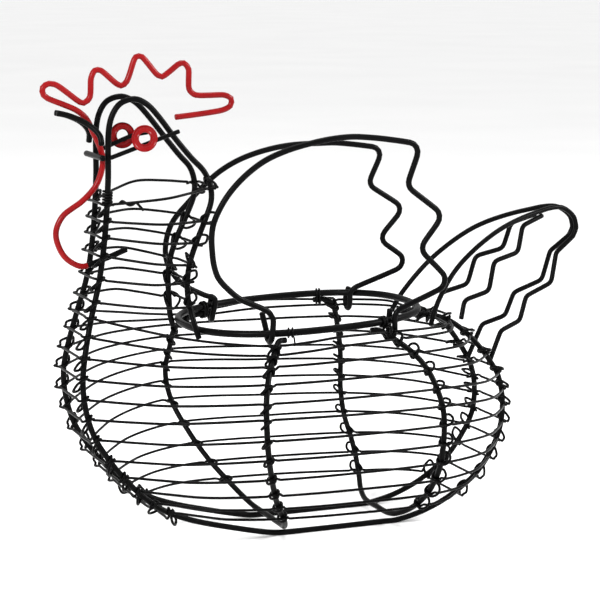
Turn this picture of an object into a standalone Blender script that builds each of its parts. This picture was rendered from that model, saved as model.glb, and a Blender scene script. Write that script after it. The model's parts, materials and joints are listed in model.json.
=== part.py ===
"""Wire produce basket in the shape of a hen, with two folding wing handles.

Metres, +Z up, the floor at z = 0.  The hen looks along -X; her left side is -Y.
Every wire is given by a few points in millimetres, (x, y, z), for the left side with y
counted outwards from the middle plane.  The right side is the same list turned over.
"""
import bpy
import math
from mathutils import Vector

MM = 0.001

# Wire radii, in millimetres
RIM_R = 1.7
FRAME_R = 1.4
TAIL_R = 1.25
EYE_BAR_R = 1.05
WEAVE_R = 0.65
BINDING_R = 0.6
GAP = 0.3

# The rim is a flattened oval ring that rises a little towards the tail
RIM_CENTRE_X = -13.4
RIM_HALF_LENGTH = 58.0
RIM_HALF_WIDTH = 48.0
RIM_POWER = 2.4
RIM_Z = 106.0
RIM_SLOPE = 0.042

# The long frame wires lie flat on the table and the ribs cross just above them
FLOOR_Z = FRAME_R * math.cos(math.radians(22.5))
RIB_FLOOR_Z = FLOOR_Z + 2 * FRAME_R + GAP
FLAT_DOWN_ROLL = math.radians(7.69)

# One long frame wire: from under the back of the rim, down the tail, along the table,
# up the breast and the neck, over the head, down the nape and over the front of the rim
SPINE = [
    (43, 5, 102.3), (52, 6, 101.7), (60, 8, 100.2), (66, 9.5, 97.3), (71.5, 11, 93),
    (76.5, 12.5, 88), (81.3, 14, 82), (85.2, 14.6, 76.4), (88.4, 15.2, 71), (90.7, 15.4, 63),
    (91.4, 15.6, 54.3), (90.2, 16, 44.2), (85.4, 17, 33.5), (77, 17.5, 22), (67.5, 17.5, 14.5),
    (57, 17.5, 8.5), (45, 17.5, 4), (32, 17.5, FLOOR_Z), (26, 17.5, FLOOR_Z), (-24, 17.5, FLOOR_Z),
    (-30, 17.5, FLOOR_Z), (-42, 17.5, 3),
    (-60, 17.5, 8), (-78, 17.5, 13), (-89, 17.5, 18.4), (-99, 17.5, 26), (-108, 17.5, 35.5),
    (-116, 17.5, 46), (-122.2, 17.5, 56.5), (-126, 17.2, 69), (-127.2, 16.7, 82),
    (-125.6, 15, 94), (-121.5, 12, 111), (-116.6, 10, 129), (-113.4, 9.6, 150),
    (-111.6, 9.8, 175), (-111.2, 10, 196), (-109.6, 10.2, 204.5), (-105.5, 10.3, 210.5),
    (-98.5, 10, 212.5), (-92.5, 9.5, 210), (-87, 9, 204.5), (-78, 8.5, 193), (-70.5, 9, 184),
    (-65, 10, 178), (-62.3, 11.5, 171), (-62.3, 12.5, 164), (-65.5, 13, 155.5),
    (-70, 13.7, 145.5), (-73.5, 14, 136), (-75, 14.3, 127.5), (-74.9, 14.6, 119),
    (-73.9, 16.4, 112), (-72.9, 18.6, 106), (-71.2, 19.4, 100),
]

# The two ribs, from their ends under the rim down to the middle of the base.  Their tops
# differ from side to side.  A height of None is that of a wire lying just under the rim.
FRONT_RIB_TOP_LEFT = [
    (-37.5, 45.6, None), (-41.3, 46.2, None), (-44.6, 50.4, 98.9), (-49, 57, 95),
    (-52.6, 62.8, 90.4),
]
FRONT_RIB_TOP_RIGHT = [
    (-46.2, 42.3, None), (-49.4, 41.3, None), (-53, 43.4, 99.8), (-54.6, 48, 97.6),
    (-55.5, 57, 93.8), (-56.5, 63, 89),
]
FRONT_RIB_SIDE = [
    (-56.5, 69.2, 80), (-57.8, 72.9, 66.5), (-55.7, 70, 52), (-50, 60, 37.2), (-43, 48, 24),
    (-34, 34, 11.5), (-29.5, 22, 5.6), (-28, 12, RIB_FLOOR_Z), (-28, 0, RIB_FLOOR_Z),
]
REAR_RIB_TOP_LEFT = [
    (4.5, 46.6, None), (8.5, 47.2, None), (12.6, 49.8, 101), (18, 51.8, 97.3),
    (24.4, 53, 92), (30.2, 54.8, 85),
]
REAR_RIB_TOP_RIGHT = [
    (13, 45.2, None), (19, 43.4, None), (23.5, 45.5, 101.3), (27, 48.8, 96.4),
    (29, 51.5, 91.2), (31.4, 54.8, 84),
]
REAR_RIB_SIDE = [
    (34, 58.5, 75.5), (35.8, 62, 65), (36, 62.4, 52.5), (36.4, 58.5, 39), (37, 51.5, 29.5),
    (36.6, 44, 21), (34.5, 34.5, 12.8), (31.5, 25, 7.2), (29.6, 15, RIB_FLOOR_Z), (29, 0, RIB_FLOOR_Z),
]

# Heights of the twelve body hoops where they cross the breast, the ribs and the tail
BREAST_LEVELS = [112, 103.5, 94, 84.5, 75, 65.5, 55.5, 45, 36.5, 29, 22.5, 17]
FRONT_RIB_LEVELS = [98.2, 95, 91, 84.5, 77.5, 70.5, 62, 52.5, 42.5, 33, 24.5, 17.5]
REAR_RIB_LEVELS = [101, 98, 91.4, 83.3, 75, 67, 58.8, 50, 40.5, 31, 22.5, 15]
TAIL_LEVELS = [101.5, 98.8, 91, 81.5, 71.5, 63, 55, 46.5, 38, 29.5, 21, 13.5]
SHOULDER_BULGE = 0.11
RUMP_BULGES = [0.3, 0.2, 0.14] + [0.11] * 9
FLANK_BULGES = [0.105, 0.05] + [0.03] * 10
FLANK_RISES = [1.8, 0.8] + [0] * 10

# Heights of the six neck hoops at the throat and at the nape, their widths, and how much
# higher each one rides on the right side
THROAT_LEVELS = [164.5, 156.5, 149, 140.5, 129.5, 119.5]
NAPE_LEVELS = [170.5, 154.5, 144.5, 134.5, 126.5, 115.5]
NECK_HALF_WIDTHS = [24, 24, 24.5, 25, 26, 27]
NECK_RIGHT_RISES = [3.5, 2, 1.5, 1.5, 1, 1]

# Each tail side: a long outer arch coming back in waves, and a shorter wavy wire inside it
TAIL_ARCH = [
    (47.2, 23.2, 99), (51.4, 20.6, 108), (61.5, 16.5, 121.8), (71.7, 14.2, 131.2),
    (86, 12, 140.6), (99.5, 9, 146.2), (116.6, 5.2, 150.4), (129.7, 2.9, 151.6),
    (137.8, 2, 146.3), (139.35, 2, 140.5),
]
TAIL_ARCH_WAVES = [
    (137.6, 2.2, 136.3), (127.4, 3.2, 128.5), (123.8, 5, 113.5), (108.7, 6.6, 107.6),
    (104.5, 8, 95.6), (92.6, 10.4, 91.5), (85.2, 11.4, 74.5),
]
TAIL_SQUIGGLE = [
    (119, 3.4, 148), (106.2, 6.2, 143.6), (102.7, 8.2, 130.6), (88.3, 10.3, 127),
    (84.7, 12, 112.5), (70.7, 13, 108.8), (68, 14.8, 99.6),
]

# The wing handles, drawn in the plane of each wing: distance behind the front hook
# and height above the level of the rim's centre
LEFT_WING = [
    (0.4, 6), (-2, 10), (-8.6, 13.5), (-15.4, 16.6), (-22, 21.9), (-27.6, 28.7), (-30.2, 40),
    (-29.8, 53), (-21, 68.5), (-5, 81.3), (17, 88.2), (36.4, 90.4), (53.6, 88.8),
]
LEFT_WING_FEATHERS = [(71.3, 85.9), (65, 66.3), (84.6, 51.8), (73, 36), (91, 18.4)]
LEFT_HINGE_X = (-45, 17.2)
LEFT_LEAN = math.radians(-5)
RIGHT_WING = [
    (0.8, 3.4), (-9, 8), (-17.6, 13.6), (-24.6, 24), (-25.8, 35), (-23.1, 45.6), (-16.8, 54.4),
    (-3.1, 69.5), (9.2, 77.5), (24.2, 82.5), (38.2, 84.5), (58.2, 84.7),
]
RIGHT_WING_FEATHERS = [(82.4, 81.5), (76, 62.3), (96.2, 49.2), (84.3, 32.6), (103.4, 18.6)]
RIGHT_HINGE_X = (-42.6, 29.2)
RIGHT_LEAN = math.radians(15)
WING_BEND_R = 5.0
HOOK_REACH = RIM_R + FRAME_R + 0.65
LEFT_LEG_HEIGHT = 6.4
RIGHT_LEG_HEIGHT = 5.4
LEFT_HOOK_DEPTHS = (0.0, 4.4)
RIGHT_HOOK_DEPTHS = (4.2, 4.6)

# How far the free end of each hook stands behind its leg and above the rim's middle line
LEFT_HOOK_ENDS = ((-2.6, 9.5), (0.4, 4.5))
RIGHT_HOOK_ENDS = ((0.8, 4.0), (1.2, 1.5))

# Comb and wattle: one red wire in the middle plane, with a black tail inside the neck
COMB_WATTLE = [
    (-75.6, 202.8), (-53.6, 205.2), (-48, 207.4), (-47.6, 211), (-52, 212.7), (-65, 212.9),
    (-68.5, 216), (-68.6, 225), (-71, 228), (-74, 227.3), (-81.8, 221.8), (-85.4, 224.2),
    (-91.4, 231.2), (-94.4, 231.2), (-96.5, 226.4), (-99, 220), (-101.8, 218.1), (-106, 220.8),
    (-111.3, 225.3), (-114.3, 225.3), (-116.2, 221), (-116.7, 213.5), (-119.8, 210.5),
    (-123.2, 212.1), (-131.8, 218.6), (-136, 219.8), (-139, 218), (-138.7, 214.6),
    (-134.8, 212.2), (-124.4, 207.9), (-118.9, 203.6), (-115.6, 197.1), (-111.9, 188.6),
    (-111.2, 181.5), (-114.5, 172.2), (-122, 164.6), (-130, 159.3), (-133.7, 153.2),
    (-133.9, 147.6), (-130.7, 140.2), (-125.8, 136), (-120.6, 134.6), (-100, 141.6),
]

# Head: eye bars, washers, the cross bar in front of the loops and the beak
EYE_BAR_LEFT = [(-111.2, 13, 186), (-77.5, 12, 197.2)]
EYE_BAR_RIGHT = [(-111, 13, 186.4), (-93, 13, 193.6), (-84, 13, 195.2)]
WASHER_OUTER_R = 6.2
WASHER_HOLE_R = 2.8
WASHER_THICK = 1.2
LEFT_WASHER_CENTRE = (-95.4, -15, 194.6)
RIGHT_WASHER_CENTRE = (-96.8, 15.2, 193.8)
CROSS_BAR_HALF = 14.0
CROSS_BAR_X = -114.9
CROSS_BAR_Z = 186.0
BEAK = [
    (-133.2, 1.8, 206.3), (-128.5, 2, 205.3), (-121.5, 3.6, 202.4), (-117, 6.4, 199),
    (-114.7, 9, 195.4), (-114.6, 10.4, 191.5),
]

BLACK_WIRE = (0.012, 0.012, 0.013)
BLACK_WEAVE = (0.016, 0.016, 0.017)
RED_PAINT = (0.50, 0.012, 0.016)


def clear_scene():
    """Start from nothing."""
    for obj in list(bpy.data.objects):
        bpy.data.objects.remove(obj)


def make_collection(name):
    """The collection that holds the whole basket."""
    collection = bpy.data.collections.new(name)
    bpy.context.scene.collection.children.link(collection)
    return collection


def make_material(name, colour, roughness, metallic):
    """A plain painted-metal material."""
    material = bpy.data.materials.new(name)
    material.use_nodes = True
    shader = material.node_tree.nodes["Principled BSDF"]
    shader.inputs["Base Color"].default_value = (*colour, 1.0)
    shader.inputs["Roughness"].default_value = roughness
    shader.inputs["Metallic"].default_value = metallic
    return material


def rim_z(x):
    """The height of the rim's middle line at a given x."""
    return RIM_Z + RIM_SLOPE * (x - RIM_CENTRE_X)


def under_rim_z(x):
    """The height of a wire that lies just under the rim."""
    return rim_z(x) - RIM_R - FRAME_R - GAP


def side_points(points, side):
    """Turn (x, outwards, z) into points on the left (-1) or right (+1) of the hen."""
    return [Vector((x, side * y, under_rim_z(x) if z is None else z)) for x, y, z in points]


def smooth_path(points, steps, closed=False):
    """A smooth curve through all the points, `steps` straight pieces between each two."""
    count = len(points)
    spans = count if closed else count - 1
    path = []
    for i in range(spans):
        if closed:
            before, here, there, after = (points[(i + k) % count] for k in (-1, 0, 1, 2))
        else:
            here, there = points[i], points[i + 1]
            before = points[i - 1] if i > 0 else 2 * here - there
            after = points[i + 2] if i + 2 < count else 2 * there - here
        length = (there - here).length
        slope_in = (there - before) * (length / (length + (here - before).length))
        slope_out = (after - here) * (length / (length + (after - there).length))
        for k in range(steps):
            t = k / steps
            path.append(
                here * (1 + t * t * (2 * t - 3)) + there * (t * t * (3 - 2 * t))
                + slope_in * (t * (t - 1) ** 2) + slope_out * (t * t * (t - 1))
            )
    if not closed:
        path.append(points[-1].copy())
    return path


def rounded_corners(points, radius, steps):
    """Straight runs between the points, each corner turned with the given bend radius."""
    path = [points[0].copy()]
    for before, corner, after in zip(points, points[1:], points[2:]):
        towards = (before - corner).normalized()
        onwards = (after - corner).normalized()
        half = towards.angle(onwards) / 2
        reach = min(radius / math.tan(half), 0.48 * (before - corner).length,
                    0.48 * (after - corner).length)
        bend = reach * math.tan(half)
        centre = corner + (towards + onwards).normalized() * (bend / math.sin(half))
        start = corner + towards * reach - centre
        finish = corner + onwards * reach - centre
        turn = start.angle(finish)
        for k in range(steps + 1):
            t = k / steps
            path.append(centre + (start * math.sin((1 - t) * turn) + finish * math.sin(t * turn))
                        / math.sin(turn))
    path.append(points[-1].copy())
    return path


def add_wire(name, paths_mm, radius_mm, material, collection, closed=False, sides=8,
             origin_mm=(0.0, 0.0, 0.0), tilt=0.0):
    """One round wire along a path, with closed ends."""
    curve = bpy.data.curves.new(name, "CURVE")
    curve.dimensions = "3D"
    curve.bevel_depth = radius_mm * MM
    curve.bevel_resolution = (sides - 4) // 2
    curve.use_fill_caps = not closed
    spline = curve.splines.new("POLY")
    spline.points.add(len(paths_mm) - 1)
    for point, place in zip(spline.points, paths_mm):
        point.co = (*((place - Vector(origin_mm)) * MM), 1.0)
        point.tilt = tilt
    spline.use_cyclic_u = closed
    spline.use_smooth = True
    curve.materials.append(material)
    obj = bpy.data.objects.new(name, curve)
    obj.location = Vector(origin_mm) * MM
    collection.objects.link(obj)
    return obj


def rim_y(x):
    """How far the rim stands from the middle plane at a given x."""
    share = abs(x - RIM_CENTRE_X) / RIM_HALF_LENGTH
    return RIM_HALF_WIDTH * (1 - share ** RIM_POWER) ** (1 / RIM_POWER)


def rim_path(steps):
    """The flattened oval of the rim."""
    path = []
    for k in range(steps):
        angle = math.tau * k / steps
        along, across = math.cos(angle), math.sin(angle)
        x = RIM_CENTRE_X + RIM_HALF_LENGTH * math.copysign(abs(along) ** (2 / RIM_POWER), along)
        y = RIM_HALF_WIDTH * math.copysign(abs(across) ** (2 / RIM_POWER), across)
        path.append(Vector((x, y, rim_z(x))))
    return path


def front_rib_points():
    """The front rib from its left end to its right end."""
    left = side_points(FRONT_RIB_TOP_LEFT + FRONT_RIB_SIDE, -1)
    right = side_points(FRONT_RIB_TOP_RIGHT + FRONT_RIB_SIDE[:-1], 1)
    return left + right[::-1]


def rear_rib_points():
    """The rear rib from its left end to its right end."""
    left = side_points(REAR_RIB_TOP_LEFT + REAR_RIB_SIDE, -1)
    right = side_points(REAR_RIB_TOP_RIGHT + REAR_RIB_SIDE[:-1], 1)
    return left + right[::-1]


def crossing(path, height, wanted):
    """Where a wire passes a given height, and its direction there, on the wanted stretch."""
    for here, there in zip(path, path[1:]):
        if (here.z - height) * (there.z - height) <= 0 and here.z != there.z and wanted(here):
            share = (height - here.z) / (there.z - here.z)
            return here.lerp(there, share), (there - here).normalized()
    raise ValueError("no crossing at this height")


def outward(place, direction, middle):
    """The way out of the basket at a place on a wire, square to the wire."""
    away = place - middle
    return (away - direction * away.dot(direction)).normalized()


def round_wire(place, direction, middle, side, reach):
    """Three points that take a hoop round the outside of an end wire."""
    out = outward(place, direction, middle)
    across = Vector((0, side, 0))
    across = (across - out * across.dot(out)).normalized()
    return [place + across * reach, place + (across + out).normalized() * reach, place + out * reach]


def bulged_middle(start, finish, middle, bulge):
    """A point half way between two others, pushed out from the middle of the basket."""
    half = (start + finish) / 2
    chord = finish - start
    away = half - Vector((middle.x, middle.y, half.z))
    away = (away - chord * (away.dot(chord) / chord.length_squared)).normalized()
    return half + away * (bulge * chord.length)


def half_body_hoop(level, spine, front_rib, rear_rib, side):
    """The part of a body hoop on one side, from the breast to the tail."""
    middle = Vector((RIM_CENTRE_X, 0, 62))
    reach = FRAME_R + WEAVE_R + 2 * GAP
    breast = crossing(spine, BREAST_LEVELS[level], lambda p: p.x < -60 and p.z < 125)
    tail = crossing(spine, TAIL_LEVELS[level], lambda p: p.x > 40)
    front = crossing(front_rib, FRONT_RIB_LEVELS[level], lambda p: p.y * side > 12)
    rear = crossing(rear_rib, REAR_RIB_LEVELS[level], lambda p: p.y * side > 12)
    front_point = front[0] + outward(*front, middle) * reach
    rear_point = rear[0] + outward(*rear, middle) * reach
    breast_turn = round_wire(*breast, middle, side, reach)
    tail_turn = round_wire(*tail, middle, side, reach)
    shoulder = bulged_middle(breast_turn[0], front_point, middle, SHOULDER_BULGE)
    flank = bulged_middle(front_point, rear_point, middle, FLANK_BULGES[level])
    flank.z += FLANK_RISES[level]
    rump = bulged_middle(rear_point, tail_turn[0], middle, RUMP_BULGES[level])
    return breast_turn[::-1] + [shoulder, front_point, flank, rear_point, rump] + tail_turn


def body_hoop_path(level, spines, front_rib, rear_rib, steps):
    """One closed hoop round the body, outside the frame wires and the ribs."""
    left = half_body_hoop(level, spines[0], front_rib, rear_rib, -1)
    right = half_body_hoop(level, spines[1], front_rib, rear_rib, 1)
    return smooth_path(left + right[::-1], steps, closed=True)


def neck_hoop_path(level, spine, steps):
    """One closed hoop round the neck, outside both frame wires."""
    reach = FRAME_R + WEAVE_R + 2 * GAP
    throat = crossing(spine, THROAT_LEVELS[level], lambda p: p.x < -100 and p.z < 190)
    nape = crossing(spine, NAPE_LEVELS[level], lambda p: -80 < p.x < -50 and p.z > 105)
    middle = (throat[0] + nape[0]) / 2
    middle.y = 0
    throat_turn = round_wire(*throat, middle, -1, reach)
    nape_turn = round_wire(*nape, middle, -1, reach)
    flank = Vector((middle.x, -NECK_HALF_WIDTHS[level], middle.z))
    half_hoop = throat_turn[::-1] + [flank] + nape_turn
    other_half = [Vector((p.x, -p.y, p.z)) for p in reversed(half_hoop)]
    other_half[len(nape_turn)].z += NECK_RIGHT_RISES[level]
    return smooth_path(half_hoop + other_half, steps, closed=True)


def wing_frame(hinge_x, side, lean):
    """A wing's own frame: its start, its length, and the ways along, up and outwards."""
    front, rear = (Vector((x, side * rim_y(x), RIM_Z)) for x in hinge_x)
    along = (rear - front).normalized()
    up = Vector((0, -side * math.sin(lean), math.cos(lean)))
    up = (up - along * up.dot(along)).normalized()
    out = along.cross(up) * (1 if along.cross(up).y * side > 0 else -1)
    return front, (rear - front).length, along, up, out


def hook_path(at, rim_up, rim_out, depth, end, facing, steps):
    """A hook in the wing's own frame, from the leg down under the rim and up to its end."""
    path = []
    for k in range(steps + 1):
        angle = math.pi * k / steps
        path.append(Vector((at, rim_up - depth - HOOK_REACH * math.sin(angle),
                            rim_out + facing * HOOK_REACH * math.cos(angle))))
    path.append(Vector((at + end[0], rim_up + end[1], rim_out - facing * HOOK_REACH)))
    return path


def wing_path(outline, feathers, leg_height, facing, front_hook, rear_hook):
    """The whole wing in its own frame: hook, outline, feather points and hook."""
    reach = facing * HOOK_REACH
    curve = smooth_path([Vector((s, h, reach)) for s, h in outline], 2)
    corners = [curve[-1]] + [Vector((s, h, reach)) for s, h in feathers]
    corners += [Vector((rear_hook[0].x - 0.5, leg_height, reach)), rear_hook[0]]
    feathers_path = rounded_corners(corners, WING_BEND_R, 4)[:-1]
    return front_hook[::-1] + curve[:-1] + feathers_path + rear_hook


def add_wing(name, side, outline, feathers, leg_height, hinge_x, lean, depths, ends, facing,
             material, collection):
    """A wing handle whose origin lies on its hinge line; its legs face out (1) or in (-1)."""
    front, length, along, up, out = wing_frame(hinge_x, side, lean)
    hooks = []
    for at, x, depth, end in zip((0, length), hinge_x, depths, ends):
        rise = Vector((0, 0, rim_z(x) - RIM_Z))
        hooks.append(hook_path(at, rise.dot(up), rise.dot(out), depth, end, facing, 6))
    path = [front + along * p.x + up * p.y + out * p.z
            for p in wing_path(outline, feathers, leg_height, facing, *hooks)]
    hinge = sum((Vector((x, side * rim_y(x), rim_z(x))) for x in hinge_x), Vector()) / 2
    return add_wire(name, path, FRAME_R, material, collection, origin_mm=hinge)


def binding_path(x, side, round_rib, turns, pitch, points_per_turn):
    """A few turns of thin wire round the rim, and round the rib end under it if wanted."""
    tilt = math.atan2(rim_y(x + 1) - rim_y(x - 1), 2)
    along = Vector((math.cos(tilt), side * math.sin(tilt), 0))
    across = Vector((-math.sin(tilt), side * math.cos(tilt), 0))
    top = rim_z(x) + RIM_R
    bottom = under_rim_z(x) - FRAME_R if round_rib else rim_z(x) - RIM_R
    middle = Vector((x, side * rim_y(x), (top + bottom) / 2))
    half_width = RIM_R + BINDING_R + 3 * GAP
    half_height = (top - bottom) / 2 + BINDING_R + 3 * GAP
    path = []
    total = int(turns * points_per_turn)
    for k in range(total + 1):
        angle = math.tau * k / points_per_turn
        path.append(middle + along * (pitch * (k - total / 2) / points_per_turn)
                    + across * (half_width * math.cos(angle))
                    + Vector((0, 0, half_height * math.sin(angle))))
    return path


def add_washer(name, centre_mm, material, collection):
    """A flat ring: one eye."""
    curve = bpy.data.curves.new(name, "CURVE")
    curve.dimensions = "2D"
    curve.fill_mode = "BOTH"
    curve.extrude = WASHER_THICK / 2 * MM
    for radius, count in ((WASHER_OUTER_R, 20), (WASHER_HOLE_R, 14)):
        spline = curve.splines.new("POLY")
        spline.points.add(count - 1)
        for k, point in enumerate(spline.points):
            angle = math.tau * k / count
            point.co = (radius * math.cos(angle) * MM, radius * math.sin(angle) * MM, 0, 1)
        spline.use_cyclic_u = True
    curve.materials.append(material)
    obj = bpy.data.objects.new(name, curve)
    obj.location = Vector(centre_mm) * MM
    obj.rotation_euler = (math.pi / 2, 0, 0)
    collection.objects.link(obj)
    return obj


def build_frame(spines, front_rib, rear_rib, black, collection):
    """Rim, long frame wires and ribs."""
    add_wire("rim_ring", rim_path(44), RIM_R, black, collection, closed=True)
    for spine, side, label in zip(spines, (-1, 1), ("left", "right")):
        add_wire(f"frame_wire_{label}", spine, FRAME_R, black, collection,
                 tilt=-side * FLAT_DOWN_ROLL)
    add_wire("front_rib", front_rib, FRAME_R, black, collection)
    add_wire("rear_rib", rear_rib, FRAME_R, black, collection)


def build_hoops(spines, front_rib, rear_rib, weave, collection):
    """All the thin hoops of the body and the neck."""
    for level in range(len(BREAST_LEVELS)):
        path = body_hoop_path(level, spines, front_rib, rear_rib, 2)
        add_wire(f"body_hoop_{level + 1:02d}", path, WEAVE_R, weave, collection, True, sides=4)
    for level in range(len(THROAT_LEVELS)):
        path = neck_hoop_path(level, spines[0], 2)
        add_wire(f"neck_hoop_{level + 1:02d}", path, WEAVE_R, weave, collection, True, sides=4)


def build_tail(side, label, black, collection):
    """Outer arch and inner wavy wire on one side of the tail."""
    arch = smooth_path(side_points(TAIL_ARCH, side), 2)
    waves = rounded_corners([arch[-1]] + side_points(TAIL_ARCH_WAVES, side), 4.0, 3)
    add_wire(f"tail_arch_{label}", arch + waves[1:], TAIL_R, black, collection)
    squiggle = rounded_corners(side_points(TAIL_SQUIGGLE, side), 4.0, 3)
    add_wire(f"tail_squiggle_{label}", squiggle, TAIL_R, black, collection)


def build_head(black, red, collection):
    """Comb and wattle, eyes, cross bar and beak."""
    comb = smooth_path([Vector((x, 0, z)) for x, z in COMB_WATTLE], 2)
    add_wire("comb_wattle_wire", comb, FRAME_R, red, collection)
    add_wire("eye_bar_left", side_points(EYE_BAR_LEFT, -1), EYE_BAR_R, black, collection)
    add_wire("eye_bar_right", side_points(EYE_BAR_RIGHT, 1), EYE_BAR_R, black, collection)
    add_washer("eye_washer_left", LEFT_WASHER_CENTRE, red, collection)
    add_washer("eye_washer_right", RIGHT_WASHER_CENTRE, red, collection)
    bar = [Vector((CROSS_BAR_X, side * CROSS_BAR_HALF, CROSS_BAR_Z)) for side in (-1, 1)]
    add_wire("head_cross_bar", bar, FRAME_R, black, collection)
    for side, label in ((-1, "left"), (1, "right")):
        beak = smooth_path(side_points(BEAK, side), 2)
        add_wire(f"beak_wire_{label}", beak, FRAME_R, black, collection)


def build_bindings(weave, collection):
    """Thin wire wound round the rim beside each rib end."""
    places = (("front_left", -37.6, -1, True), ("front_right", -47.8, 1, True),
              ("rear_left", 11.4, -1, False), ("rear_right", 14.7, 1, True))
    for label, x, side, round_rib in places:
        path = binding_path(x, side, round_rib, 2, 1.6, 9)
        add_wire(f"rim_binding_{label}", path, BINDING_R, weave, collection, sides=4)


def build():
    """The whole basket."""
    clear_scene()
    collection = make_collection("wire_produce_basket")
    black = make_material("black_wire", BLACK_WIRE, 0.38, 0.0)
    weave = make_material("black_weave_wire", BLACK_WEAVE, 0.42, 0.0)
    red = make_material("red_painted_wire", RED_PAINT, 0.30, 0.0)
    spines = [side_points(SPINE, side) for side in (-1, 1)]
    front_rib = front_rib_points()
    rear_rib = rear_rib_points()
    build_frame(spines, front_rib, rear_rib, black, collection)
    build_hoops(spines, front_rib, rear_rib, weave, collection)
    build_head(black, red, collection)
    for side, label in ((-1, "left"), (1, "right")):
        build_tail(side, label, black, collection)
    add_wing("wing_handle_left", -1, LEFT_WING, LEFT_WING_FEATHERS, LEFT_LEG_HEIGHT,
             LEFT_HINGE_X, LEFT_LEAN, LEFT_HOOK_DEPTHS, LEFT_HOOK_ENDS, 1, black, collection)
    add_wing("wing_handle_right", 1, RIGHT_WING, RIGHT_WING_FEATHERS, RIGHT_LEG_HEIGHT,
             RIGHT_HINGE_X, RIGHT_LEAN, RIGHT_HOOK_DEPTHS, RIGHT_HOOK_ENDS, -1, black,
             collection)
    build_bindings(weave, collection)


build()
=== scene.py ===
"""The looks of the wire produce basket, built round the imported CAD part.

Every wire of the part is read back as its middle line and built again as a smooth, round,
coated wire.  The thin hoops also get the turns that they take round each wire they cross.
"""
import json
import math
import random

import bmesh
import bpy
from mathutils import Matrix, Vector
from mathutils.kdtree import KDTree


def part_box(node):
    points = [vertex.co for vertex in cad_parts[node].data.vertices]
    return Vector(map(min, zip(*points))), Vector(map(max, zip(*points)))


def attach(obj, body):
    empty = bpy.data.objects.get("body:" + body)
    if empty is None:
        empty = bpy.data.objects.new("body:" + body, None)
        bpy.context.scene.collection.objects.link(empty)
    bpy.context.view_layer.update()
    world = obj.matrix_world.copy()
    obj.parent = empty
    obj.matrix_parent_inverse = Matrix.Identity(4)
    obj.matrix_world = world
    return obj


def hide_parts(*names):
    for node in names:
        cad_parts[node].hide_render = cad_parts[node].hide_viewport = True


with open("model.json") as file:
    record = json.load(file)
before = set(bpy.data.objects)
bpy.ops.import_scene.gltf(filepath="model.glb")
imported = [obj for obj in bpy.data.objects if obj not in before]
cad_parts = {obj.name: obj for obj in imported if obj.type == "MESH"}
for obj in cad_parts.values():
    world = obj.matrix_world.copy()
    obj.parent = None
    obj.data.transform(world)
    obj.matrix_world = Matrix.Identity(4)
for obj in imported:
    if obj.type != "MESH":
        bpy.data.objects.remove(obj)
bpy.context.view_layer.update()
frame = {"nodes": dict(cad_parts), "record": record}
body_of = {node: body for body, nodes in frame["record"]["behaviour"]["bodies"].items()
           for node in nodes}

MM = 0.001

# Wire radii, as in the part
RIM_R = 1.7 * MM
FRAME_R = 1.4 * MM
TAIL_R = 1.25 * MM
EYE_BAR_R = 1.05 * MM
WEAVE_R = 0.65 * MM

THICK_WIRES = {
    "rim_ring": RIM_R,
    "frame_wire_left": FRAME_R, "frame_wire_right": FRAME_R,
    "front_rib": FRAME_R, "rear_rib": FRAME_R,
    "tail_arch_left": TAIL_R, "tail_arch_right": TAIL_R,
    "tail_squiggle_left": TAIL_R, "tail_squiggle_right": TAIL_R,
    "wing_handle_left": FRAME_R, "wing_handle_right": FRAME_R,
    "eye_bar_left": EYE_BAR_R, "eye_bar_right": EYE_BAR_R,
    "head_cross_bar": FRAME_R,
    "beak_wire_left": FRAME_R, "beak_wire_right": FRAME_R,
}
WOVEN_ROUND = ["frame_wire_left", "frame_wire_right", "front_rib", "rear_rib"]

# Corners round a CAD wire, and round the smooth wire that takes its place
THICK_CORNERS = 8
THIN_CORNERS = 4
THICK_SIDES = 14
THIN_SIDES = 10

# Steps along a smooth wire
COARSE = 1.5 * MM
FINE = 0.6 * MM
FINEST = 0.4 * MM

# The rounding of a cut end: how far back from the tip and how thick, both in wire radii
ROUNDED_END = [(0.28, 1.0), (0.08, 0.86), (0.0, 0.6)]

# How the weave wire turns once round a wire that it crosses: the angle from straight
# outwards towards the way it travels, how far it stands off, and how high it climbs, in mm.
# The loose turn hangs in a loop beside the wire, the tight one is a diagonal twist, and the
# outward one bows away from the wire on the outside of the basket.
LOOSE_TURN = [
    (-52, 0.6, 0.0), (-10, 0.0, 0.1), (40, 0.0, 0.6), (90, 0.0, 1.0), (145, 0.0, 0.4),
    (190, 0.0, -2.0), (232, 0.2, -4.2), (270, 1.1, -4.6), (305, 2.0, -3.3), (330, 2.2, -1.6),
    (352, 1.7, -0.4), (378, 1.3, 0.1), (412, 0.7, 0.0),
]
TIGHT_TURN = [
    (-52, 0.6, 0.0), (0, 0.0, -0.1), (60, 0.0, -0.4), (120, 0.05, -1.1), (180, 0.05, -2.2),
    (230, 0.25, -3.4), (270, 0.5, -3.9), (312, 0.4, -3.2), (345, 0.8, -1.6), (378, 1.35, -0.4),
    (412, 0.8, 0.0),
]
OUTWARD_TURN = [
    (-52, 0.6, 0.0), (0, 0.0, -0.1), (60, 0.0, -0.3), (120, 0.0, 0.1), (180, 0.0, 1.1),
    (230, 0.0, 2.5), (275, 0.2, 3.8), (312, 0.9, 4.3), (345, 1.7, 3.2), (374, 1.9, 1.6),
    (398, 1.4, 0.4), (416, 0.8, 0.0),
]
# Past this stand-off, in mm, only what is beyond it grows with the looseness
FAR_OFF = 1.3
# A hoop crosses a wire where it comes this near to it, and is left out this near to a turn
NEAR_A_WIRE = 4.3 * MM
TURN_REACH = 3.7 * MM
# The neck's throat wires are in front of this, and its nape wires behind it
NECK_MIDDLE_X = -95 * MM

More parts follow.
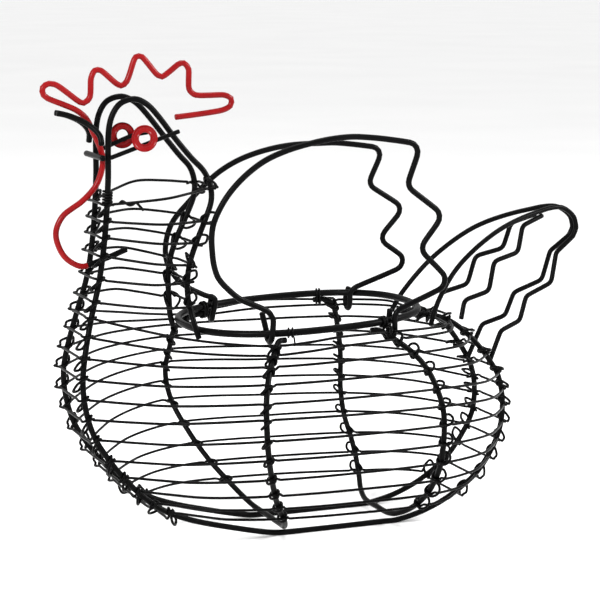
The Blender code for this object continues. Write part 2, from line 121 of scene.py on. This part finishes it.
# The thin wire round the rim: steps in a turn, steps past the last turn, and where it starts
RIM_TURN_STEPS = 22
RIM_TURN_OVERRUN = 5
RIM_TURN_START = -2.2
RIM_TURN_PITCH = 0.5 * MM
RIB_END_GAP = 0.15 * MM
LOOSE_TAIL = [(0.5, 0.2, 0.8), (0.7, 0.3, 2.4), (0.6, 0.3, 4.4)]

# The start of the weave wire, on the left throat wire and the first hoop of the neck
THROAT_X = -105 * MM
START_COIL_LEVELS = (161.5 * MM, 171.5 * MM)
START_COIL_R = WEAVE_R * 0.9
START_COIL_TOP = 8.5 * MM
START_COIL_PITCH = 1.3 * MM
START_COIL_TURNS = 5
START_COIL_STEPS = 16
KNOT_X = (-108.5 * MM, -101 * MM)
KNOT_LEFT_OF_Y = -12 * MM
KNOT_TURNS = 1.1
KNOT_R = WEAVE_R * 1.7
KNOT_LOOSE_END = [(1.0, -0.4, -0.8), (2.4, -0.6, -2.4), (3.6, -0.8, -3.9)]

# The eyes
WASHER_HOLE_R = 2.8 * MM
WASHER_ROUNDING = 0.3 * MM
WASHER_STEPS = 72

# Where the red paint of the comb and wattle wire stops, inside the neck
PAINT_STOPS_UNDER = 150 * MM
PAINT_STOPS_BEHIND = -120.5 * MM

CAMERA_PLACE = Vector((-0.3820, -0.9150, 0.2736))
CAMERA_TARGET = Vector((-0.0123, 0.0, 0.1120))
CAMERA_LENS = 123.0
FLOOR_HALF = 30.0
SURROUND_STRENGTH = 0.98
# Name, place, what it points at, the side of its square in metres, and its power in watts
LAMPS = [
    ("top_light", (0.15, 0.1, 1.4), (0, 0, 0.05), 0.5, 7.0),
    ("breast_light", (-1.0, -0.75, 0.75), (-0.1, 0, 0.1), 0.22, 16.0),
    ("tail_light", (1.05, -0.55, 0.75), (0.08, 0, 0.08), 0.22, 16.0),
]


# ---------------------------------------------------------------- reading the wires

def welded(node):
    """The corners of a CAD wire, each once, its neighbours, and the mean way out at each."""
    mesh = frame["nodes"][node].data
    keys = [tuple(round(c * 1e6) for c in vertex.co) for vertex in mesh.vertices]
    places, near, way_out = {}, {}, {}
    for key, vertex in zip(keys, mesh.vertices):
        places[key] = vertex.co.copy()
    for face in mesh.polygons:
        corners = [keys[i] for i in face.vertices]
        for k, key in enumerate(corners):
            before, after = places[corners[k - 1]], places[corners[(k + 1) % len(corners)]]
            weight = (before - places[key]).angle(after - places[key], 0.0)
            way_out[key] = way_out.get(key, Vector()) + face.normal * weight
            near.setdefault(key, set()).update(corners)
    return places, near, way_out


def touching(keys, near):
    """The keys as groups that touch one another."""
    left, groups = set(keys), []
    while left:
        group, todo = set(), [left.pop()]
        while todo:
            key = todo.pop()
            group.add(key)
            found = near[key] & left
            left -= found
            todo += found
        groups.append(group)
    return groups


def beside(ring, near):
    """The corners next to a ring of corners, and not on it."""
    return set().union(*(near[key] for key in ring)) - ring


def mean_place(ring, places):
    return sum((places[key] for key in ring), Vector()) / len(ring)


def bar_ends(places):
    """The middles of the two ends of a straight bar."""
    middle = mean_place(places, places)
    far = max(places.values(), key=lambda p: (p - middle).length)
    halves = [[k for k, p in places.items() if ((p - middle).dot(far - middle) > 0) == front]
              for front in (True, False)]
    return [mean_place(half, places) for half in halves]


def middle_line(node, radius, corners):
    """The centres of a CAD wire's rings of corners, in order, and whether the wire is closed."""
    places, near, way_out = welded(node)
    if len(places) == 2 * corners:
        return bar_ends(places), False

    def ring_at(key):
        centre = places[key] - way_out[key].normalized() * radius
        return {k for k, p in places.items() if abs((p - centre).length - radius) < 0.25 * radius}

    start = next(ring for ring in map(ring_at, places)
                 if len(ring) == corners and len(touching(beside(ring, near), near)) == 2)
    seen, runs = set(start), []
    for ring in touching(beside(start, near), near):
        run = []
        ring = ring - seen
        while ring:
            run.append(mean_place(ring, places))
            seen |= ring
            ring = beside(ring, near) - seen
        runs.append(run)
    return runs[1][::-1] + [mean_place(start, places)] + runs[0], not runs[1]


def smooth(points, step, closed=False):
    """A smooth curve through the points with places about `step` apart."""
    count = len(points)
    spans = count if closed else count - 1
    path = []
    for i in range(spans):
        here, there = points[i], points[(i + 1) % count]
        before = points[i - 1] if closed or i > 0 else 2 * here - there
        after = points[(i + 2) % count] if closed or i + 2 < count else 2 * there - here
        length = (there - here).length
        slope_in = (there - before) * (length / (length + (here - before).length))
        slope_out = (after - here) * (length / (length + (after - there).length))
        pieces = max(1, round(length / step))
        for k in range(pieces):
            t = k / pieces
            path.append(here * (1 + t * t * (2 * t - 3)) + there * (t * t * (3 - 2 * t))
                        + slope_in * (t * (t - 1) ** 2) + slope_out * (t * t * (t - 1)))
    if not closed:
        path.append(points[-1].copy())
    return path


# ---------------------------------------------------------------- building wires

def with_rounded_ends(path, radius):
    """The path, and how thick the wire is at each place, with both cut ends rounded."""
    first = (path[0] - path[1]).normalized()
    last = (path[-1] - path[-2]).normalized()
    head = [path[0] - first * (radius * back) for back, _ in reversed(ROUNDED_END)]
    tail = [path[-1] - last * (radius * back) for back, _ in ROUNDED_END]
    sizes = [size for _, size in ROUNDED_END]
    return head + path[1:-1] + tail, sizes[::-1] + [1.0] * (len(path) - 2) + sizes


def add_wire(name, path, radius, material, body, closed=False, sides=THICK_SIDES,
             stands_for=()):
    """One round coated wire along a path; an open one has slightly rounded ends."""
    sizes = [1.0] * len(path)
    if not closed:
        path, sizes = with_rounded_ends(path, radius)
    curve = bpy.data.curves.new(name, "CURVE")
    curve.dimensions = "3D"
    curve.bevel_depth = radius
    curve.bevel_resolution = (sides - 4) // 2
    curve.use_fill_caps = not closed
    spline = curve.splines.new("POLY")
    spline.points.add(len(path) - 1)
    for point, place, size in zip(spline.points, path, sizes):
        point.co = (*place, 1.0)
        point.radius = size
    spline.use_cyclic_u = closed
    spline.use_smooth = True
    curve.materials.append(material)
    piece = bpy.data.objects.new(name, curve)
    bpy.context.scene.collection.objects.link(piece)
    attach(piece, body)
    if stands_for:
        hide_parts(*stands_for)


# ---------------------------------------------------------------- materials

class Nodes:
    """A material's nodes, added and joined in one call each."""

    def __init__(self, name):
        self.material = bpy.data.materials.new(name)
        self.material.use_nodes = True
        self.tree = self.material.node_tree
        self.shader = self.tree.nodes["Principled BSDF"]
        self.place = self.add("ShaderNodeTexCoord").outputs["Object"]

    def add(self, kind, **settings):
        node = self.tree.nodes.new(kind)
        for key, value in settings.items():
            setattr(node, key, value)
        return node

    def join(self, output, socket):
        self.tree.links.new(output, socket)

    def noise(self, scale, detail=3.0):
        node = self.add("ShaderNodeTexNoise")
        node.inputs["Scale"].default_value = scale
        node.inputs["Detail"].default_value = detail
        self.join(self.place, node.inputs["Vector"])
        return node.outputs["Fac"]

    def ramp(self, factor, stops):
        """A colour ramp; each stop is a position with a colour or a grey level."""
        node = self.add("ShaderNodeValToRGB")
        elements = node.color_ramp.elements
        while len(elements) < len(stops):
            elements.new(0.5)
        for element, (position, colour) in zip(elements, stops):
            element.position = position
            element.color = (*colour, 1.0) if isinstance(colour, tuple) else (colour,) * 3 + (1.0,)
        self.join(factor, node.inputs["Fac"])
        return node.outputs["Color"]

    def mix(self, factor, first, second):
        """A mix of two colours; sockets 6, 7 and 2 are the ones for colours."""
        node = self.add("ShaderNodeMix", data_type="RGBA")
        self.join(factor, node.inputs["Factor"])
        self.join(first, node.inputs[6])
        self.join(second, node.inputs[7])
        return node.outputs[2]

    def bump(self, layers, distance):
        """Bumps one on another, each a (height, strength) pair."""
        before = None
        for height, strength in layers:
            node = self.add("ShaderNodeBump")
            node.inputs["Strength"].default_value = strength
            node.inputs["Distance"].default_value = distance
            self.join(height, node.inputs["Height"])
            if before is not None:
                self.join(before, node.inputs["Normal"])
            before = node.outputs["Normal"]
        self.join(before, self.shader.inputs["Normal"])


def coated_black(name, dark, light, gloss):
    """Black coating on wire: nearly even, with thicker and thinner places and fine specks."""
    look = Nodes(name)
    patches = look.noise(90.0, 4.0)
    specks = look.noise(1400.0, 2.0)
    colour = look.ramp(patches, [(0.3, (dark,) * 3), (0.7, (light, light, light * 1.06))])
    rubbed = look.ramp(specks, [(0.71, 0.0), (0.78, 1.0)])
    bare = look.ramp(patches, [(0.0, (0.006, 0.006, 0.0063)), (1.0, (0.015, 0.015, 0.0155))])
    look.join(look.mix(rubbed, colour, bare), look.shader.inputs["Base Color"])
    look.join(look.ramp(patches, [(0.25, gloss), (0.75, gloss + 0.12)]),
              look.shader.inputs["Roughness"])
    look.shader.inputs["Specular IOR Level"].default_value = 0.045
    look.bump([(look.noise(700.0, 3.0), 0.22), (look.noise(160.0, 2.0), 0.3)], 0.0002)
    return look.material


def red_enamel():
    """Glossy red paint, a little deeper where it has run thick."""
    look = Nodes("red_enamel")
    patches = look.noise(110.0, 4.0)
    colour = look.ramp(patches, [(0.28, (0.16, 0.002, 0.003)), (0.55, (0.20, 0.003, 0.004)),
                                 (0.8, (0.23, 0.004, 0.005))])
    look.join(colour, look.shader.inputs["Base Color"])
    look.join(look.ramp(patches, [(0.25, 0.22), (0.75, 0.36)]), look.shader.inputs["Roughness"])
    look.shader.inputs["Specular IOR Level"].default_value = 0.10
    look.shader.inputs["Coat Weight"].default_value = 0.04
    look.shader.inputs["Coat Roughness"].default_value = 0.18
    look.bump([(look.noise(520.0, 3.0), 0.2), (look.noise(140.0, 2.0), 0.3)], 0.0002)
    return look.material


def pale_floor():
    """Plain off-white table."""
    look = Nodes("pale_floor")
    shade = look.ramp(look.noise(3.0, 2.0), [(0.3, (0.90, 0.90, 0.90)), (0.7, (0.93, 0.93, 0.928))])
    look.join(shade, look.shader.inputs["Base Color"])
    look.shader.inputs["Roughness"].default_value = 0.6
    return look.material


# ---------------------------------------------------------------- the scene round the basket

def aim(thing, place, target):
    """Put a camera or lamp in the scene, pointing at the target."""
    thing.location = place
    thing.rotation_mode = "QUATERNION"
    thing.rotation_quaternion = (Vector(target) - Vector(place)).to_track_quat("-Z", "Y")
    bpy.context.scene.collection.objects.link(thing)


def add_camera():
    data = bpy.data.cameras.new("camera")
    data.lens = CAMERA_LENS
    data.sensor_width = 36.0
    camera = bpy.data.objects.new("camera", data)
    aim(camera, CAMERA_PLACE, CAMERA_TARGET)
    bpy.context.scene.camera = camera


def add_lamp(name, place, target, size, power):
    data = bpy.data.lights.new(name, "AREA")
    data.shape = "SQUARE"
    data.size = size
    data.energy = power
    aim(bpy.data.objects.new(name, data), place, target)


def add_floor():
    mesh = bpy.data.meshes.new("floor")
    corners = [(x * FLOOR_HALF, y * FLOOR_HALF, 0.0) for x, y in ((-1, -1), (1, -1), (1, 1), (-1, 1))]
    mesh.from_pydata(corners, [], [(0, 1, 2, 3)])
    mesh.materials.append(pale_floor())
    floor = bpy.data.objects.new("floor", mesh)
    bpy.context.scene.collection.objects.link(floor)


def add_studio():
    """Floor, lamps and a white surround."""
    add_floor()
    world = bpy.data.worlds.new("surround")
    world.use_nodes = True
    background = world.node_tree.nodes["Background"]
    background.inputs["Color"].default_value = (1.0, 1.0, 1.0, 1.0)
    background.inputs["Strength"].default_value = SURROUND_STRENGTH
    bpy.context.scene.world = world
    bpy.context.scene.view_settings.view_transform = "Standard"
    for lamp in LAMPS:
        add_lamp(*lamp)


# ---------------------------------------------------------------- thick wires and hoops

def build_thick_wires(black):
    """The rim, frame, ribs, tail, wings and the bars of the head and beak."""
    for node, radius in THICK_WIRES.items():
        line, closed = middle_line(node, radius, THICK_CORNERS)
        path = smooth(line, COARSE, closed)
        add_wire(f"{node}_wire", path, radius, black, body_of[node], closed,
                 stands_for=[node])


def counterclockwise(path):
    """The closed path in the direction that the weave wire travels, seen from above."""
    area = sum(a.x * b.y - b.x * a.y for a, b in zip(path, path[1:] + path[:1]))
    return path if area > 0 else path[::-1]


def tree_of(path):
    """The places of a path, ready for finding the nearest one."""
    tree = KDTree(len(path))
    for i, place in enumerate(path):
        tree.insert(place, i)
    tree.balance()
    return tree


def crossings(hoop, tree):
    """Where a closed hoop passes a wire: the hoop's place there and the wire's."""
    close = [tree.find(place) for place in hoop]
    near = [distance < NEAR_A_WIRE for _, _, distance in close]
    found = []
    for i in range(len(hoop)):
        if near[i] and not near[i - 1]:
            stretch = [i]
            while near[(stretch[-1] + 1) % len(hoop)]:
                stretch.append((stretch[-1] + 1) % len(hoop))
            best = min(stretch, key=lambda k: close[k][2])
            found.append((best, close[best][1]))
    return found


def turn_points(shape, hoop, at, wire, spot, middle, loose, height):
    """One turn of weave wire round a wire, as places along it."""
    place = wire[spot]
    up = (wire[min(spot + 2, len(wire) - 1)] - wire[max(spot - 2, 0)]).normalized()
    up = up if up.z >= 0 else -up
    travel = hoop[(at + 1) % len(hoop)] - hoop[at - 1]
    travel = (travel - up * travel.dot(up)).normalized()
    out = up.cross(travel)
    out = out if out.dot(place - middle) > 0 else -out
    path = []
    for degrees, off, climb in shape:
        angle = math.radians(degrees)
        loosened = off * loose if off < FAR_OFF else FAR_OFF + (off - FAR_OFF) * loose
        reach = FRAME_R + WEAVE_R + loosened * MM
        path.append(place + (out * math.cos(angle) + travel * math.sin(angle)) * reach
                    + up * (climb * height * MM))
    return path


def turned_over(shape):
    """The same turn with its loop on the other side of the wire and above, not below."""
    return [(-degrees, off, -climb) for degrees, off, climb in reversed(shape)]


def turn_for(wire_name, place, is_neck, chance):
    """The shape, looseness and height of the turn at a place on a wire."""
    vary = chance.uniform(0.8, 1.2)
    tall = chance.uniform(0.92, 1.15)
    if wire_name == "front_rib":
        return TIGHT_TURN, vary, 1.0
    if wire_name == "rear_rib":
        return turned_over(LOOSE_TURN), 0.8 * vary, 0.85 * tall
    on_left = wire_name == "frame_wire_left"
    at_front = place.x < (NECK_MIDDLE_X if is_neck else 0.0)
    if at_front and on_left:
        return LOOSE_TURN, 1.7 * vary, 1.15 * tall
    if at_front:
        return OUTWARD_TURN, 2.6 * vary, tall
    if on_left:
        return OUTWARD_TURN, 1.9 * vary, 1.15 * tall
    if is_neck:
        return LOOSE_TURN, 2.4 * vary, 1.1 * tall
    return turned_over(LOOSE_TURN), 2.4 * vary, 1.1 * tall


def woven_path(hoop, wires, is_neck, chance):
    """A hoop with one turn round each wire that it crosses."""
    middle = mean_place(range(len(hoop)), hoop)
    turns = {}
    for name, (wire, tree) in wires.items():
        for at, spot in crossings(hoop, tree):
            shape, loose, height = turn_for(name, wire[spot], is_neck, chance)
            turns[at] = (wire[spot], turn_points(shape, hoop, at, wire, spot, middle, loose, height))
    path = []
    for i, place in enumerate(hoop):
        if i in turns:
            path += turns[i][1]
        elif all((place - centre).length > TURN_REACH for centre, _ in turns.values()):
            path.append(place)
    return smooth(path, FINE, True)


def build_hoops(weave):
    """The thin hoops of the body and the neck, with a turn round each wire they cross."""
    chance = random.Random(11)
    wires = {}
    for name in WOVEN_ROUND:
        path = smooth(middle_line(name, FRAME_R, THICK_CORNERS)[0], FINE)
        wires[name] = (path, tree_of(path))
    for node in sorted(name for name in frame["nodes"] if "_hoop_" in name):
        line, closed = middle_line(node, WEAVE_R, THIN_CORNERS)
        hoop = counterclockwise(smooth(line, COARSE, closed))
        is_neck = node.startswith("neck")
        crossed = {k: v for k, v in wires.items() if not is_neck or k.startswith("frame")}
        path = woven_path(hoop, crossed, is_neck, chance)
        add_wire(f"{node}_wire", path, WEAVE_R, weave, body_of[node], closed,
                 sides=THIN_SIDES, stands_for=[node])


# ---------------------------------------------------------------- bindings and the weave's start

def rim_turns(name, node, starts, turn_r, deep, weave, tail=()):
    """Tight turns of thin wire round the rim, and round a rib end under it if `deep`."""
    rim = smooth(middle_line("rim_ring", RIM_R, THICK_CORNERS)[0], FINE, True)
    low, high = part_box(node)
    middle_x = (low[0] + high[0]) / 2
    place = min(rim, key=lambda p: abs(p.x - middle_x) + (1 if p.y * low[1] < 0 else 0))
    at = rim.index(place)
    along = (rim[(at + 2) % len(rim)] - rim[at - 2]).normalized()
    along = along if along.x > 0 else -along
    out = Vector((0, 0, 1)).cross(along) * (1 if low[1] > 0 else -1)
    up = along.cross(out) * (1 if along.cross(out).z > 0 else -1)
    drop = FRAME_R + RIB_END_GAP if deep else 0.0
    wide, tall = RIM_R + turn_r, RIM_R + turn_r + drop
    path = []
    for start in starts:
        steps = RIM_TURN_STEPS + (RIM_TURN_OVERRUN if start == starts[-1] else 0)
        for step in range(steps):
            angle = math.tau * step / RIM_TURN_STEPS + RIM_TURN_START
            shift = start + RIM_TURN_PITCH * step / RIM_TURN_STEPS
            path.append(place + along * shift + out * (wide * math.cos(angle))
                        + up * (tall * math.sin(angle) - drop))
    path += [path[-1] + (out * reach + along * shift - up * fall) * MM for reach, shift, fall in tail]
    add_wire(name, smooth(path, FINEST), turn_r, weave, body_of[node],
             sides=THIN_SIDES, stands_for=[node])


def build_rim_bindings(weave):
    rim_turns("rim_turns_front_left", "rim_binding_front_left", (1.1 * MM, 2.9 * MM), 0.42 * MM,
              False, weave, LOOSE_TAIL)
    rim_turns("rim_turns_front_right", "rim_binding_front_right", (-0.8 * MM, 0.8 * MM), 0.6 * MM,
              True, weave)
    rim_turns("rim_turns_rear_left", "rim_binding_rear_left", (-0.8 * MM, 0.6 * MM), 0.6 * MM,
              False, weave)
    rim_turns("rim_turns_rear_right", "rim_binding_rear_right", (-0.7 * MM, 0.7 * MM), 0.5 * MM,
              True, weave)


def build_start_coil(weave):
    """The tight turns on the left throat wire where the weave wire starts."""
    low, high = START_COIL_LEVELS
    throat = [p for p in smooth(middle_line("frame_wire_left", FRAME_R, THICK_CORNERS)[0], FINE)
              if p.x < THROAT_X and low < p.z < high]
    throat.sort(key=lambda p: p.z)
    up = (throat[-1] - throat[0]).normalized()
    right = Vector((0, 1, 0))
    across = up.cross(right).normalized()
    turn_r = FRAME_R + START_COIL_R
    coil = []
    for step in range(START_COIL_TURNS * START_COIL_STEPS):
        angle = math.tau * step / START_COIL_STEPS
        climb = START_COIL_TOP - START_COIL_PITCH * step / START_COIL_STEPS
        coil.append(throat[0] + up * climb
                    + (across * math.cos(angle) + right * math.sin(angle)) * turn_r)
    add_wire("neck_start_coil", smooth(coil, FINEST), START_COIL_R, weave, "basket",
             sides=THIN_SIDES)


def build_knot(weave):
    """The knot on the first hoop of the neck, and its loose end."""
    hoop = smooth(middle_line("neck_hoop_01", WEAVE_R, THIN_CORNERS)[0], FINE, True)
    strand = [p for p in hoop if p.y < KNOT_LEFT_OF_Y and KNOT_X[0] < p.x < KNOT_X[1]]
    strand.sort(key=lambda p: p.x)
    knot = []
    for i, place in enumerate(strand):
        angle = math.tau * KNOT_TURNS * i / len(strand)
        knot.append(place + Vector((0, -math.cos(angle), math.sin(angle))) * KNOT_R)
    end = knot[-1]
    knot += [end + Vector(step) * MM for step in KNOT_LOOSE_END]
    add_wire("neck_knot_wire", smooth(knot, FINEST), WEAVE_R, weave, "basket",
             sides=THIN_SIDES)


# ---------------------------------------------------------------- comb and eyes

def build_comb(red, black):
    """The red comb and wattle, and the black tail of the same wire inside the neck."""
    line = middle_line("comb_wattle_wire", FRAME_R, THICK_CORNERS)[0]
    if line[0].z < line[-1].z:
        line = line[::-1]
    path = smooth(line, COARSE)
    split = next(i for i, p in enumerate(path) if p.z < PAINT_STOPS_UNDER and p.x > PAINT_STOPS_BEHIND)
    body = body_of["comb_wattle_wire"]
    add_wire("comb_wattle_enamel", path[:split + 1], FRAME_R, red, body,
             stands_for=["comb_wattle_wire"])
    add_wire("comb_tail_wire", path[split:], FRAME_R * 0.98, black, body)


def washer_profile(outer, hole, half):
    """The outline that is turned about the washer's axis, as distances out and along it.

    Its faces lie a little below their rims, and it crosses itself at each corner.
    """
    profile = []
    for edge_r, edge_y in ((outer, half), (outer, -half), (hole, -half), (hole, half)):
        sign_r = 1 if edge_r == outer else -1
        sign_y = 1 if edge_y > 0 else -1
        for k in range(4):
            angle = math.radians(30 * k)
            far, near = math.sin(angle), math.cos(angle)
            if sign_r * sign_y < 0:
                far, near = near, far
            profile.append((edge_r - sign_r * WASHER_ROUNDING * (1 - near),
                            edge_y - sign_y * WASHER_ROUNDING * (1 - far)))
    return profile


def build_washer(node, black_way, red, black):
    """One eye: a turned ring, painted red, with faces pointing the `black_way` in y left black."""
    low, high = (Vector(corner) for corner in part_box(node))
    size = high - low
    profile = washer_profile(size.x / 2, WASHER_HOLE_R, size.y / 2)
    mesh = bmesh.new()
    ring = [mesh.verts.new((r, y, 0.0)) for r, y in profile]
    edges = [mesh.edges.new((a, b)) for a, b in zip(ring, ring[1:] + ring[:1])]
    bmesh.ops.spin(mesh, geom=ring + edges, cent=(0, 0, 0), axis=(0, 1, 0), angle=math.tau,
                   steps=WASHER_STEPS)
    bmesh.ops.remove_doubles(mesh, verts=mesh.verts, dist=1e-6)
    bmesh.ops.recalc_face_normals(mesh, faces=mesh.faces)
    for face in mesh.faces:
        face.smooth = True
        face.material_index = 1 if black_way * face.normal.y > 0.6 else 0
    data = bpy.data.meshes.new(f"{node}_enamel")
    mesh.to_mesh(data)
    mesh.free()
    data.materials.append(red)
    data.materials.append(black if black_way else red)
    piece = bpy.data.objects.new(f"{node}_enamel", data)
    piece.location = (low + high) / 2
    bpy.context.scene.collection.objects.link(piece)
    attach(piece, body_of[node])
    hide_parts(node)


def build_basket():
    """Every visible piece of the basket."""
    black = coated_black("coated_black_wire", 0.0010, 0.0022, 0.30)
    weave = coated_black("coated_black_weave", 0.0012, 0.0026, 0.28)
    red = red_enamel()
    build_thick_wires(black)
    build_hoops(weave)
    build_comb(red, black)
    build_washer("eye_washer_left", 0, red, black)
    build_washer("eye_washer_right", -1, red, black)
    build_rim_bindings(weave)
    build_start_coil(weave)
    build_knot(weave)


build_basket()
add_studio()
add_camera()
